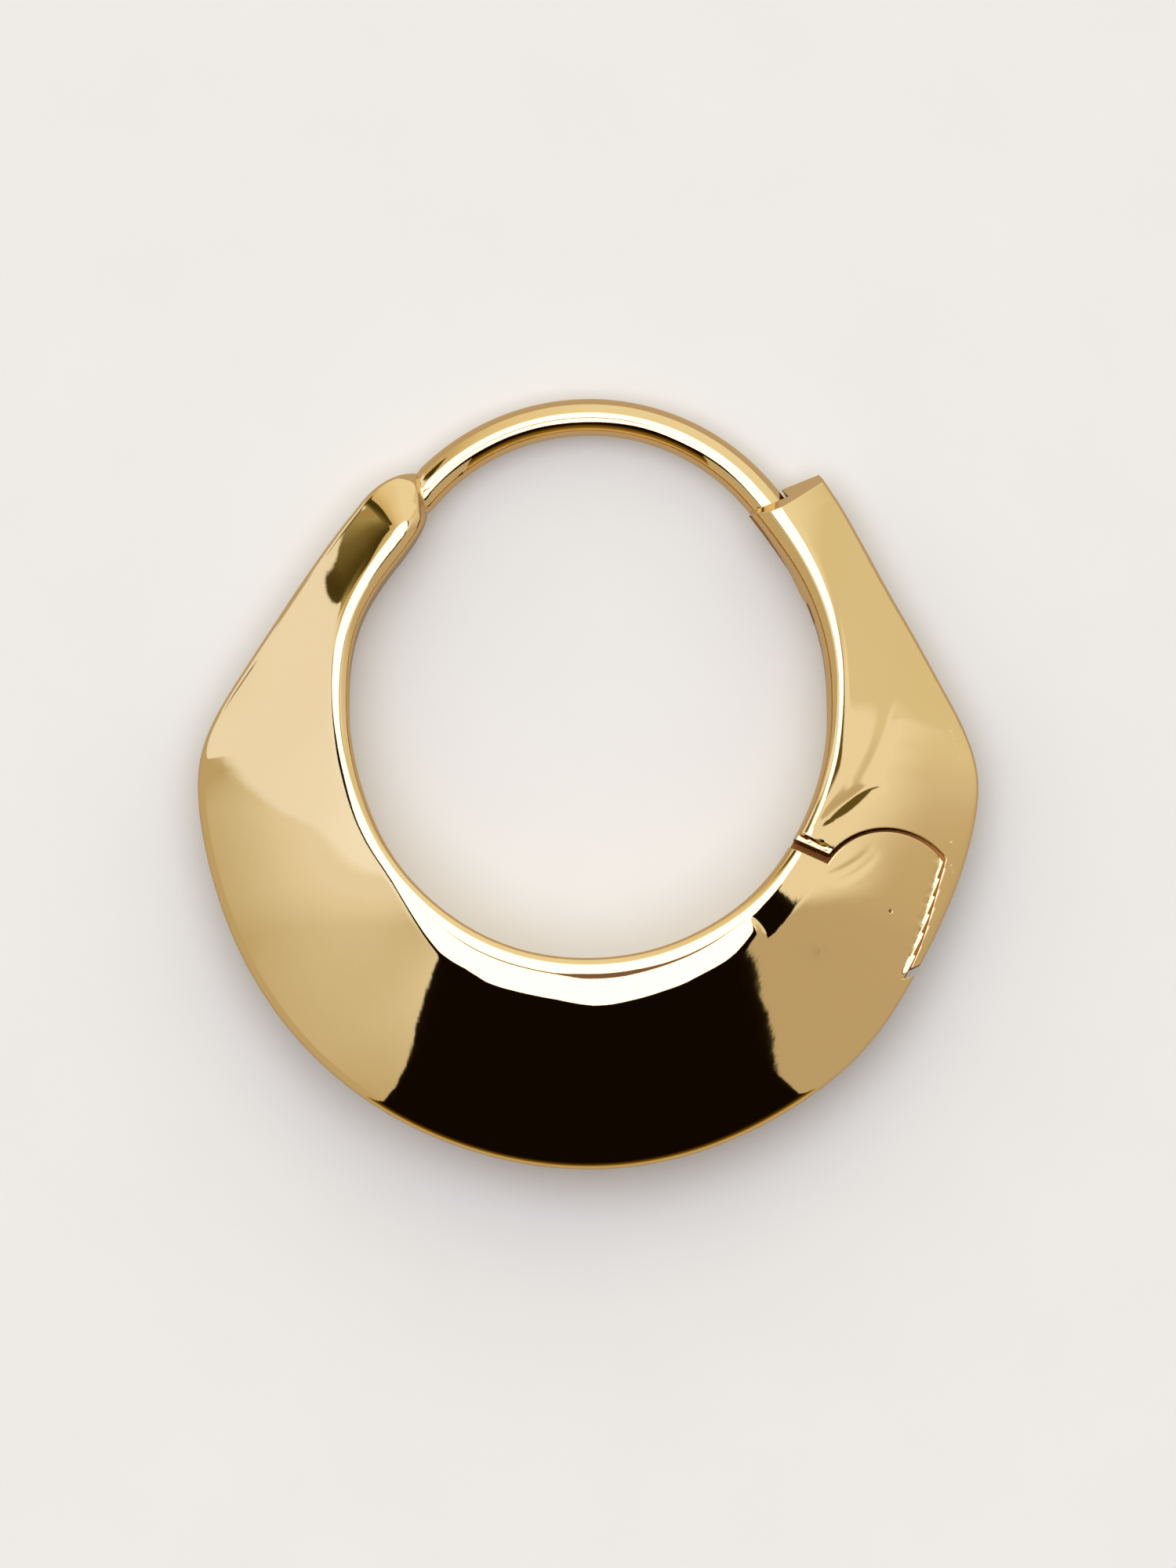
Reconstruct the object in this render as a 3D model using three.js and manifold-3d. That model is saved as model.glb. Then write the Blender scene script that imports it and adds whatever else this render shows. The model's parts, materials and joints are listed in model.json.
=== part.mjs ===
// Hinged hoop earring, resting on its side as it lies when it is put down.
// All sizes are in millimetres and all angles in degrees.
//
// Hoop frame: X points to the hinge side, Y to the ear wire, Z through the hoop.
// The hoop is the same front and back, so its mid-plane is z = 0. The last group in this file
// turns the hoop frame into the resting attitude, with +Z up.

import * as THREE from 'three';
import { mergeVertices } from 'three/addons/utils/BufferGeometryUtils.js';
import Module from 'manifold-3d';

const wasm = await Module();
wasm.setup();

// ---------------------------------------------------------------- driving dimensions

// Cross sections of the crescent, from the fixed tip round the bottom to the tip of the arm.
// Each section stands upright between a point of the inner edge and a point of the outer edge.
// Both are given as an angle and a radius about FAN_CENTRE. ridge is the distance of the high
// line from the inner edge, and rim is half the thickness of the outer edge.
const FAN_CENTRE = new THREE.Vector2(-0.03, -0.49);
const SECTIONS = [
  { innerAngle: 136.5, innerRadius: 6.70, outerAngle: 136.5, outerRadius: 8.48, ridge: 0.68, rim: 0.74 },
  { innerAngle: 140, innerRadius: 6.66, outerAngle: 140, outerRadius: 8.45, ridge: 0.68, rim: 0.70 },
  { innerAngle: 148, innerRadius: 6.67, outerAngle: 148, outerRadius: 8.48, ridge: 0.66, rim: 0.60 },
  { innerAngle: 156, innerRadius: 6.69, outerAngle: 156, outerRadius: 8.63, ridge: 0.63, rim: 0.46 },
  { innerAngle: 164, innerRadius: 6.64, outerAngle: 164, outerRadius: 8.93, ridge: 0.61, rim: 0.33 },
  { innerAngle: 172, innerRadius: 6.55, outerAngle: 172, outerRadius: 9.43, ridge: 0.58, rim: 0.24 },
  { innerAngle: 179, innerRadius: 6.49, outerAngle: 179, outerRadius: 10.04, ridge: 0.54, rim: 0.20 },
  { innerAngle: 186, innerRadius: 6.46, outerAngle: 186, outerRadius: 10.60, ridge: 0.49, rim: 0.19 },
  { innerAngle: 194, innerRadius: 6.45, outerAngle: 194, outerRadius: 10.89, ridge: 0.46, rim: 0.18 },
  { innerAngle: 204, innerRadius: 6.48, outerAngle: 204, outerRadius: 11.14, ridge: 0.43, rim: 0.18 },
  { innerAngle: 216, innerRadius: 6.57, outerAngle: 216, outerRadius: 11.49, ridge: 0.40, rim: 0.18 },
  { innerAngle: 229, innerRadius: 6.64, outerAngle: 229, outerRadius: 11.84, ridge: 0.70, rim: 0.18 },
  { innerAngle: 242, innerRadius: 6.70, outerAngle: 242, outerRadius: 12.09, ridge: 1.05, rim: 0.18 },
  { innerAngle: 256, innerRadius: 6.73, outerAngle: 256, outerRadius: 12.26, ridge: 1.12, rim: 0.18 },
  { innerAngle: 271, innerRadius: 6.72, outerAngle: 271, outerRadius: 12.34, ridge: 1.24, rim: 0.18 },
  { innerAngle: 285, innerRadius: 6.72, outerAngle: 285, outerRadius: 12.24, ridge: 1.19, rim: 0.18 },
  { innerAngle: 298, innerRadius: 6.70, outerAngle: 298, outerRadius: 12.03, ridge: 1.08, rim: 0.19 },
  { innerAngle: 310, innerRadius: 6.68, outerAngle: 310, outerRadius: 11.78, ridge: 0.76, rim: 0.22 },
  { innerAngle: 322, innerRadius: 6.61, outerAngle: 322, outerRadius: 11.34, ridge: 0.48, rim: 0.28 },
  { innerAngle: 333, innerRadius: 6.55, outerAngle: 333, outerRadius: 11.09, ridge: 0.44, rim: 0.18 },
  { innerAngle: 343, innerRadius: 6.53, outerAngle: 343, outerRadius: 10.95, ridge: 0.44, rim: 0.14 },
  { innerAngle: 351, innerRadius: 6.52, outerAngle: 351, outerRadius: 10.76, ridge: 0.48, rim: 0.16 },
  { innerAngle: 358, innerRadius: 6.52, outerAngle: 358, outerRadius: 10.27, ridge: 0.50, rim: 0.19 },
  { innerAngle: 365, innerRadius: 6.54, outerAngle: 365, outerRadius: 9.68, ridge: 0.55, rim: 0.20 },
  { innerAngle: 374, innerRadius: 6.62, outerAngle: 373, outerRadius: 9.21, ridge: 0.60, rim: 0.22 },
  { innerAngle: 384, innerRadius: 6.71, outerAngle: 382, outerRadius: 8.90, ridge: 0.68, rim: 0.28 },
  { innerAngle: 394, innerRadius: 6.80, outerAngle: 390.5, outerRadius: 8.84, ridge: 0.77, rim: 0.36 },
  { innerAngle: 404, innerRadius: 6.91, outerAngle: 398, outerRadius: 8.94, ridge: 0.88, rim: 0.45 },
  { innerAngle: 414, innerRadius: 7.14, outerAngle: 406.5, outerRadius: 9.15, ridge: 0.93, rim: 0.50 },
];
// The bead along the inner edge, a row for each row of SECTIONS: the distance of its crest from the
// inner edge, and the height of its rounded shoulder over the upright inner wall.
const BEAD = [
  { crest: 0.46, shoulder: 0.34 },
  { crest: 0.48, shoulder: 0.34 },
  { crest: 0.42, shoulder: 0.33 },
  { crest: 0.37, shoulder: 0.31 },
  { crest: 0.36, shoulder: 0.30 },
  { crest: 0.36, shoulder: 0.30 },
  { crest: 0.36, shoulder: 0.31 },
  { crest: 0.34, shoulder: 0.33 },
  { crest: 0.31, shoulder: 0.34 },
  { crest: 0.28, shoulder: 0.33 },
  { crest: 0.24, shoulder: 0.27 },
  { crest: 0.23, shoulder: 0.22 },
  { crest: 0.25, shoulder: 0.21 },
  { crest: 0.25, shoulder: 0.21 },
  { crest: 0.26, shoulder: 0.21 },
  { crest: 0.26, shoulder: 0.21 },
  { crest: 0.26, shoulder: 0.22 },
  { crest: 0.27, shoulder: 0.25 },
  { crest: 0.30, shoulder: 0.34 },
  { crest: 0.30, shoulder: 0.42 },
  { crest: 0.30, shoulder: 0.46 },
  { crest: 0.34, shoulder: 0.47 },
  { crest: 0.37, shoulder: 0.48 },
  { crest: 0.41, shoulder: 0.50 },
  { crest: 0.45, shoulder: 0.52 },
  { crest: 0.51, shoulder: 0.54 },
  { crest: 0.59, shoulder: 0.57 },
  { crest: 0.70, shoulder: 0.60 },
  { crest: 0.72, shoulder: 0.60 },
];
const SECTION_STEPS = 3;         // rings lofted from one row of the table to the next
const BODY_LAST_ROW = 20;        // the body's blank runs from row 0 to here, past the hinge
const ARM_FIRST_ROW = 17;        // the arm's blank starts here, short of the hinge, and runs to the tip

// The ridge is highest at the bottom and falls evenly towards both tips. It sags a little between
// them, so the hoop rests on its bottom and on both tips.
const RIDGE_BOTTOM = { y: -8.3, height: 2.0 };
const RIDGE_TIP = { y: 5.2, height: 1.05 };
const RIDGE_SAG = 0.04;

// Shape of one section: an upright inner wall, a rounded shoulder up to a crest, a crown that
// bends down towards the ridge, and the face.
const CROWN_SLOPE = 0.80;        // share of the face's fall that the crown reaches at the ridge
const CROWN_MOST = 0.24;         // and the steepest it gets
const CROWN_BEND = 0.40;         // where along the crown most of its bend lies
const ELLIPSE_HANDLE = 0.5523;   // length of a curve's handles that makes a quarter ellipse
const RIDGE_ROUND = 0.10;        // length that the ridge's rounding takes from bead and face
const FACE_DOME = 0.02;          // how far the face stands over its chord, in its widths
const DOME_PLACE = 0.45;         // where along the chord it stands highest
const RIM_ROUND = 0.15;          // length that the rim's rounding takes from face and edge
const RIM_ROUND_SHARE = 0.8;     // most of the rim's half thickness that the rounding may take
const PROFILE_STEPS = { shoulder: 4, crown: 2, ridge: 1, face: 3, rim: 2 };

// Ear wire: a round wire on a circle, soldered to the fixed tip.
const WIRE_CENTRE = new THREE.Vector2(0.02, 1.70);
const WIRE_CIRCLE = 6.02;
const WIRE_RADIUS = 0.5;
const WIRE_ROOT = { innerAngle: 143, outerAngle: 136.5 };
const WIRE_SQUARE_ANGLE = 122;   // from here on the wire's sections are square to it
const WIRE_STEPS = 30;
const WIRE_STEP_BIAS = 1.3;      // over 1 sets the wire's rings closer together near its root
const WIRE_DOME_TURNS = [80, 55, 30];         // where the rings of the free end's dome lie, in degrees
const NECK = { depth: 0.03, length: 0.16 };   // waist of the wire where it leaves the solder
// The wire's free end bends less: from startAngle on it follows a wider circle to endAngle.
const FREE_END = { startAngle: 42, endAngle: 21, circle: 10.2 };
const TIP_STEPS = 6;
const TIP_SHOULDER = new THREE.Vector2(-5.50, 6.16);   // outer corner of the fixed tip, before rounding
const TIP_NOSE = new THREE.Vector2(-4.44, 4.72);       // inner corner of the fixed tip, before rounding

// Hinge: two ears on the body, one tongue on the arm, one pin.
const PIVOT = new THREE.Vector2(8.12, -5.60);
const EAR_RADIUS = 1.90;
const KNUCKLE_GAP = 0.12;        // between the ears and the hollow end of the arm
const TONGUE_RADIUS = 1.88;
const SLOT_RADIUS = 2.10;        // clears the tongue over the whole swing
const TONGUE_HALF = 0.32;        // half the tongue's thickness
const SLOT_HALF = 0.36;          // half the slot's width
const PIN_RADIUS = 0.35;
const PIN_HALF_LENGTH = 0.50;
const EAR_BORE = { radius: 0.37, depth: 0.52 };
const TONGUE_BORE_RADIUS = 0.39;

// Shoulder: the joint line on the inner side of the hinge, where the closed arm stops.
const SHOULDER = { start: new THREE.Vector2(5.46, -4.17), angle: -23 };
const SHOULDER_GAP = 0.27;
const TONGUE_SHOULDER = -0.18;   // the tongue and its slot reach in under the ears' shoulder
const SLOT_SHOULDER = -0.32;
// Plan boxes that hold all that is cut off the body there, and all that belongs to the arm.
const HINGE_BOX = { left: 4.6, right: 12, top: 0.5 };
const ARM_BOX = { left: 3.6, right: 12, top: 8 };

// Catch: a groove along the inner side of the arm's tip that takes the wire's free end.
const CATCH_CLEARANCE = 0.08;
const CATCH_LENGTH_SPARE = 0.35; // beyond the wire's end
const CATCH_INSIDE = 1.5;        // how far inside the wire's centre line the groove is open
const CATCH_TURN = 42;           // degrees of the wire's bend that the groove covers
const CATCH_STEPS = 14;
const TIP_LEAN = 0.54;           // how far the arm's end face leans back at the ridge

const ROUND_SIDES = 48;
const BORE_SIDES = 24;
const CUTTER_REACH = 4;          // half height of the tools that cut right through
const WELD_DISTANCE = 1e-5;      // corners closer than this are one corner

// ---------------------------------------------------------------- small helpers

const radians = THREE.MathUtils.degToRad;

function polar(centre, angle, radius) {
  return new THREE.Vector2(
    centre.x + radius * Math.cos(radians(angle)),
    centre.y + radius * Math.sin(radians(angle)),
  );
}

// Natural cubic spline through values at 0, 1, 2 ...: bent evenly, without kinks.
function smoothColumn(values) {
  const last = values.length - 1;
  const bend = new Array(last + 1).fill(0);
  const carry = new Array(last + 1).fill(0);
  for (let i = 1; i < last; i += 1) {
    const pull = 6 * (values[i + 1] - 2 * values[i] + values[i - 1]);
    const share = 4 - carry[i - 1];
    carry[i] = 1 / share;
    bend[i] = (pull - bend[i - 1]) / share;
  }
  for (let i = last - 1; i > 0; i -= 1) {
    bend[i] -= carry[i] * bend[i + 1];
  }
  return (at) => {
    const i = Math.min(Math.max(Math.floor(at), 0), last - 1);
    const b = at - i;
    const a = 1 - b;
    return a * values[i] + b * values[i + 1]
      + ((a ** 3 - a) * bend[i] + (b ** 3 - b) * bend[i + 1]) / 6;
  };
}

function bezier(points, t) {
  let level = points;
  while (level.length > 1) {
    level = level.slice(1).map((point, i) => level[i].clone().lerp(point, t));
  }
  return level[0];
}

function bezierRun(points, steps) {
  return Array.from({ length: steps }, (_, i) => bezier(points, (i + 1) / steps));
}

// Joins rings of points into a closed skin. A ring runs over the top of a section and back
// underneath. Each end is closed through a row of points on the mid-plane, given or worked out.
function skinRings(rings, lastMiddle) {
  const sides = rings[0].length;
  const half = sides / 2;
  const points = rings.flat();
  const triangles = [];
  const addBand = (near, far) => {
    near.slice(1).forEach((_, j) => {
      triangles.push(near[j], near[j + 1], far[j + 1], near[j], far[j + 1], far[j]);
    });
  };
  const around = (k) => Array.from({ length: sides + 1 }, (_, j) => k * sides + j % sides);
  rings.slice(1).forEach((_, k) => addBand(around(k), around(k + 1)));
  const addCap = (k, middle, flip) => {
    const upper = Array.from({ length: half + 1 }, (_, j) => k * sides + j);
    const lower = Array.from({ length: half + 1 }, (_, j) => k * sides + (sides - j) % sides);
    const first = points.length;
    points.push(...middle);
    const between = [upper[0], ...middle.map((_, j) => first + j), upper[half]];
    addBand(flip ? between : upper, flip ? upper : between);
    addBand(flip ? lower : between, flip ? between : lower);
  };
  const flatMiddle = (ring) => ring.slice(1, half).map((point) => point.clone().setZ(0));
  addCap(0, flatMiddle(rings[0]), true);
  addCap(rings.length - 1, lastMiddle ?? flatMiddle(rings.at(-1)), false);
  const geometry = new THREE.BufferGeometry().setFromPoints(points);
  geometry.setIndex(triangles.filter((_, i) => {
    const [a, b, c] = triangles.slice(i - i % 3, i - i % 3 + 3);
    return a !== b && b !== c && c !== a;
  }));
  return geometry;
}

function solidOf(geometry) {
  const bare = geometry.clone();
  bare.deleteAttribute('normal');
  bare.deleteAttribute('uv');
  const merged = mergeVertices(bare, WELD_DISTANCE);
  return new wasm.Manifold(new wasm.Mesh({
    numProp: 3,
    vertProperties: new Float32Array(merged.attributes.position.array),
    triVerts: new Uint32Array(merged.index.array),
  }));
}

function geometryOf(solid) {
  const mesh = solid.getMesh();
  const geometry = new THREE.BufferGeometry();
  geometry.setAttribute('position', new THREE.BufferAttribute(mesh.vertProperties, 3));
  geometry.setIndex(new THREE.BufferAttribute(mesh.triVerts, 1));
  return geometry;
}

// Upright disc about the pivot, and upright slab over a plan outline.
function disc(radius, halfHeight, sides = ROUND_SIDES) {
  const geometry = new THREE.CylinderGeometry(radius, radius, 2 * halfHeight, sides);
  geometry.rotateX(Math.PI / 2);
  geometry.translate(PIVOT.x, PIVOT.y, 0);
  return solidOf(geometry);
}

function slab(outline, halfHeight) {
  const shape = new THREE.Shape(outline);
  const geometry = new THREE.ExtrudeGeometry(shape, { depth: 2 * halfHeight, bevelEnabled: false });
  geometry.translate(0, 0, -halfHeight);
  return solidOf(geometry);
}

// ---------------------------------------------------------------- crescent sections

const column = Object.fromEntries([SECTIONS, BEAD].flatMap((table) => Object.keys(table[0])
  .map((name) => [name, smoothColumn(table.map((row) => row[name]))])));

function ridgeHeight(y) {
  const share = (y - RIDGE_BOTTOM.y) / (RIDGE_TIP.y - RIDGE_BOTTOM.y);
  const even = THREE.MathUtils.lerp(RIDGE_BOTTOM.height, RIDGE_TIP.height, share);
  return even - 4 * RIDGE_SAG * share * (1 - share);
}

// Upper half of a section, from the inner edge over the crest and the ridge to the outer edge.
// x runs outwards from the inner edge and y is the height over the mid-plane.
function upperProfile({ width, ridge, height, rim, crestPlace, shoulder }) {
  const at = (x, y) => new THREE.Vector2(x, y);
  const top = at(ridge, height);
  const rimCorner = at(width, rim);
  const bow = top.clone().lerp(rimCorner, DOME_PLACE).add(at(0, FACE_DOME * (width - ridge)));
  const fall = Math.min(CROWN_SLOPE * (top.y - bow.y) / (bow.x - top.x), CROWN_MOST);
  const crownEnd = at(ridge - RIDGE_ROUND, height + fall * RIDGE_ROUND);
  const crownLength = crownEnd.x - crestPlace;
  const crest = at(crestPlace, crownEnd.y + fall * crownLength * (1 - CROWN_BEND));
  const wallTop = at(0, crest.y - shoulder);
  const faceStart = top.clone().lerp(bow, RIDGE_ROUND / top.distanceTo(bow));
  const rimRound = Math.min(RIM_ROUND, RIM_ROUND_SHARE * rim);
  const faceEnd = rimCorner.clone().lerp(bow, rimRound / rimCorner.distanceTo(bow));
  return [
    at(0, 0),
    wallTop,
    ...bezierRun([
      wallTop,
      at(0, wallTop.y + ELLIPSE_HANDLE * shoulder),
      at(crest.x * (1 - ELLIPSE_HANDLE), crest.y),
      crest,
    ], PROFILE_STEPS.shoulder),
    ...bezierRun(
      [crest, at(crest.x + crownLength * CROWN_BEND, crest.y), crownEnd],
      PROFILE_STEPS.crown,
    ),
    ...bezierRun([crownEnd, top, faceStart], PROFILE_STEPS.ridge),
    ...bezierRun([faceStart, bow, faceEnd], PROFILE_STEPS.face),
    ...bezierRun([faceEnd, rimCorner, at(width, rim - rimRound)], PROFILE_STEPS.rim),
    at(width, 0),
  ];
}

// Section number `at` of the crescent: its two edge points in plan and its upper half.
function crescentSection(at) {
  const inner = polar(FAN_CENTRE, column.innerAngle(at), column.innerRadius(at));
  const outer = polar(FAN_CENTRE, column.outerAngle(at), column.outerRadius(at));
  const ridge = column.ridge(at);
  const width = inner.distanceTo(outer);
  const ridgePlace = inner.clone().lerp(outer, ridge / width);
  const upper = upperProfile({
    width,
    ridge,
    height: ridgeHeight(ridgePlace.y),
    rim: column.rim(at),
    crestPlace: column.crest(at),
    shoulder: column.shoulder(at),
  });
  return { inner, outer, upper };
}

// Round section of a wire, with as many points as a section of the crescent.
const HALF_POINTS = crescentSection(0).upper.length;

function roundProfile(width, radius) {
  return Array.from({ length: HALF_POINTS }, (_, j) => {
    const turn = Math.PI * j / (HALF_POINTS - 1);
    return new THREE.Vector2(width * (1 - Math.cos(turn)) / 2, radius * Math.sin(turn));
  });
}

// Closed ring of points in space: over the top from the inner to the outer edge, back underneath.
function ringOf({ inner, outer, upper }) {
  const along = outer.clone().sub(inner).normalize();
  const lower = upper.slice(1, -1).reverse().map((point) => new THREE.Vector2(point.x, -point.y));
  return [...upper, ...lower].map((point) => new THREE.Vector3(
    inner.x + along.x * point.x,
    inner.y + along.y * point.x,
    point.y,
  ));
}

// ---------------------------------------------------------------- ear wire and fixed tip

const ROOT_ANGLE = (WIRE_ROOT.innerAngle + WIRE_ROOT.outerAngle) / 2;
const ROOT_SKEW = (WIRE_ROOT.innerAngle - WIRE_ROOT.outerAngle) / 2;
const FREE_CENTRE = polar(WIRE_CENTRE, FREE_END.startAngle, WIRE_CIRCLE - FREE_END.circle);

// Point beside the wire's centre line, at an angle of the circle that it follows there.
function besideWire(angle, offset) {
  return angle < FREE_END.startAngle
    ? polar(FREE_CENTRE, angle, FREE_END.circle + offset)
    : polar(WIRE_CENTRE, angle, WIRE_CIRCLE + offset);
}

// Section of the wire. Near the root it is skewed, as the solder joint is.
function wireSection(angle, radius = WIRE_RADIUS) {
  const rootShare = Math.max((angle - WIRE_SQUARE_ANGLE) / (ROOT_ANGLE - WIRE_SQUARE_ANGLE), 0);
  const skew = ROOT_SKEW * rootShare ** 2;
  const inner = besideWire(angle + skew, -radius);
  const outer = besideWire(angle - skew, radius);
  return { inner, outer, upper: roundProfile(inner.distanceTo(outer), radius) };
}

// The wire from its domed free end to its root, thinned a little where it leaves the solder.
function wireSections() {
  const domeAngle = THREE.MathUtils.radToDeg(WIRE_RADIUS / FREE_END.circle);
  const dome = WIRE_DOME_TURNS.map((turn) => wireSection(
    FREE_END.endAngle + domeAngle * (1 - Math.sin(radians(turn))),
    WIRE_RADIUS * Math.cos(radians(turn)),
  ));
  const length = Array.from({ length: WIRE_STEPS + 1 }, (_, k) => {
    const share = 1 - (1 - k / WIRE_STEPS) ** WIRE_STEP_BIAS;
    const angle = THREE.MathUtils.lerp(FREE_END.endAngle + domeAngle, ROOT_ANGLE, share);
    const fromRoot = radians(ROOT_ANGLE - angle) * WIRE_CIRCLE;
    return wireSection(angle, WIRE_RADIUS - NECK.depth * Math.exp(-((fromRoot / NECK.length) ** 2)));
  });
  return [...dome, ...length];
}

// The rounded end of the fixed tip: the wire's root swells into the first crescent section.
function fixedTipSections() {
  const root = wireSections().at(-1);
  const first = crescentSection(0);
  return Array.from({ length: TIP_STEPS - 1 }, (_, k) => {
    const turn = (Math.PI / 2) * (k + 1) / TIP_STEPS;
    const along = Math.cos(turn);
    const swell = Math.sin(turn);
    const inner = bezier([first.inner, TIP_NOSE, root.inner], along);
    const outer = bezier([first.outer, TIP_SHOULDER, root.outer], along);
    const width = inner.distanceTo(outer);
    const firstWidth = first.inner.distanceTo(first.outer);
    const rootWidth = root.inner.distanceTo(root.outer);
    const upper = first.upper.map((point, j) => new THREE.Vector2(
      width * THREE.MathUtils.lerp(root.upper[j].x / rootWidth, point.x / firstWidth, swell),
      THREE.MathUtils.lerp(root.upper[j].y, point.y, swell),
    ));
    return { inner, outer, upper };
  });
}

// ---------------------------------------------------------------- the two blanks

function stations(from, to) {
  const count = Math.round((to - from) * SECTION_STEPS);
  return Array.from({ length: count + 1 }, (_, k) => from + (to - from) * k / count);
}

function bodyBlank() {
  const sections = [
    ...wireSections(),
    ...fixedTipSections(),
    ...stations(0, BODY_LAST_ROW).map(crescentSection),
  ];
  return solidOf(skinRings(sections.map(ringOf)));
}

// The arm's end face is straight along the mid-plane and leans back above and below it.
function armBlank() {
  const last = SECTIONS.length - 1;
  const rings = stations(ARM_FIRST_ROW, last).map((at) => ringOf(crescentSection(at)));
  const end = rings.at(-1);
  const before = ringOf(crescentSection(last - 1));
  const leaned = end.map((point, j) => {
    const back = before[j].clone().sub(point).normalize();
    return point.clone().addScaledVector(back, TIP_LEAN * Math.abs(point.z) / RIDGE_TIP.height);
  });
  const middle = end.slice(1, end.length / 2).map((point) => point.clone().setZ(0));
  return solidOf(skinRings([...rings.slice(0, -2), leaned], middle));
}

// ---------------------------------------------------------------- hinge cuts

// Everything on the arm's side of a line parallel to the shoulder, inside a box of the plan.
function beyondShoulder(offset, box, halfHeight) {
  const along = polar(new THREE.Vector2(0, 0), SHOULDER.angle, 1);
  const across = new THREE.Vector2(-along.y, along.x);
  const foot = SHOULDER.start.clone().addScaledVector(across, offset);
  const onLine = (x) => new THREE.Vector2(x, foot.y + (x - foot.x) * along.y / along.x);
  return slab([
    onLine(box.left),
    onLine(box.right),
    new THREE.Vector2(box.right, box.top),
    new THREE.Vector2(box.left, box.top),
  ], halfHeight);
}

function hoopBody() {
  const ears = disc(EAR_RADIUS, CUTTER_REACH);
  const beyondEars = beyondShoulder(0, HINGE_BOX, CUTTER_REACH).subtract(ears);
  const slot = beyondShoulder(SLOT_SHOULDER, HINGE_BOX, SLOT_HALF).add(disc(SLOT_RADIUS, SLOT_HALF));
  const bores = disc(EAR_BORE.radius, EAR_BORE.depth, BORE_SIDES);
  return bodyBlank().subtract(beyondEars).subtract(slot).subtract(bores);
}

// Plan outline of the catch: from inside the hoop out to the wire's far side.
function catchOutline() {
  const outside = WIRE_RADIUS + CATCH_CLEARANCE;
  const start = FREE_END.endAngle - THREE.MathUtils.radToDeg(CATCH_LENGTH_SPARE / FREE_END.circle);
  const turns = Array.from({ length: CATCH_STEPS + 1 }, (_, k) => start + CATCH_TURN * k / CATCH_STEPS);
  return [
    ...turns.map((angle) => besideWire(angle, outside)),
    besideWire(turns.at(-1), -CATCH_INSIDE),
    besideWire(turns[0], -CATCH_INSIDE),
  ];
}

function hingedArm() {
  const blank = armBlank();
  const shell = blank
    .intersect(beyondShoulder(SHOULDER_GAP, ARM_BOX, CUTTER_REACH))
    .subtract(disc(EAR_RADIUS + KNUCKLE_GAP, CUTTER_REACH));
  const tongueOutline = beyondShoulder(TONGUE_SHOULDER, ARM_BOX, TONGUE_HALF)
    .add(disc(TONGUE_RADIUS, TONGUE_HALF));
  const tongue = blank.intersect(tongueOutline);
  const groove = slab(catchOutline(), WIRE_RADIUS + CATCH_CLEARANCE);
  const bore = disc(TONGUE_BORE_RADIUS, CUTTER_REACH, BORE_SIDES);
  return shell.add(tongue).subtract(groove).subtract(bore);
}

function hingePin() {
  return disc(PIN_RADIUS, PIN_HALF_LENGTH, BORE_SIDES);
}

// ---------------------------------------------------------------- assembly

function piece(name, solid, material) {
  const mesh = new THREE.Mesh(geometryOf(solid), new THREE.MeshStandardMaterial(material));
  mesh.name = name;
  return mesh;
}

const hoop = new THREE.Group();
hoop.add(piece('hoop_body', hoopBody(), { color: '#d9b263', roughness: 0.12, metalness: 1 }));
hoop.add(piece('hinged_arm', hingedArm(), { color: '#d9b263', roughness: 0.14, metalness: 1 }));
hoop.add(piece('hinge_pin', hingePin(), { color: '#c79f52', roughness: 0.3, metalness: 1 }));

// Put down, the hoop leans until its bottom and the tips touch the surface. It is then moved so
// that the middle of its footprint is the origin and the surface is z = 0.
function restingSlope() {
  const crests = stations(0, SECTIONS.length - 1).map((at) => {
    const { inner, outer, upper } = crescentSection(at);
    const highest = upper.reduce((best, point) => (point.y > best.y ? point : best));
    const place = inner.clone().lerp(outer, highest.x / inner.distanceTo(outer));
    return { y: place.y, height: highest.y };
  });
  const bottom = crests.reduce((best, crest) => (crest.height > best.height ? crest : best));
  const tips = crests.filter((crest) => crest.y > 0);
  return Math.max(...tips.map((tip) => (tip.height - bottom.height) / (tip.y - bottom.y)));
}

hoop.rotation.x = Math.atan(restingSlope());

const earring = new THREE.Group();
earring.add(hoop);
earring.updateMatrixWorld(true);
const reach = new THREE.Box3().setFromObject(hoop, true);
const middle = reach.getCenter(new THREE.Vector3());
hoop.position.set(-middle.x, -middle.y, -reach.min.z);

export default earring;
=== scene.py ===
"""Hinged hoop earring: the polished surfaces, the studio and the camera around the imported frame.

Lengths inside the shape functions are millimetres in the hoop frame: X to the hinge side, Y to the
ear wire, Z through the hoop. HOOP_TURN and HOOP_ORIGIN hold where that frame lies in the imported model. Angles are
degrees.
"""

import json
import math

import bmesh
import bpy
import numpy as np
from bpy.props import FloatProperty, FloatVectorProperty, PointerProperty
from mathutils import Matrix, Vector

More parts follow.
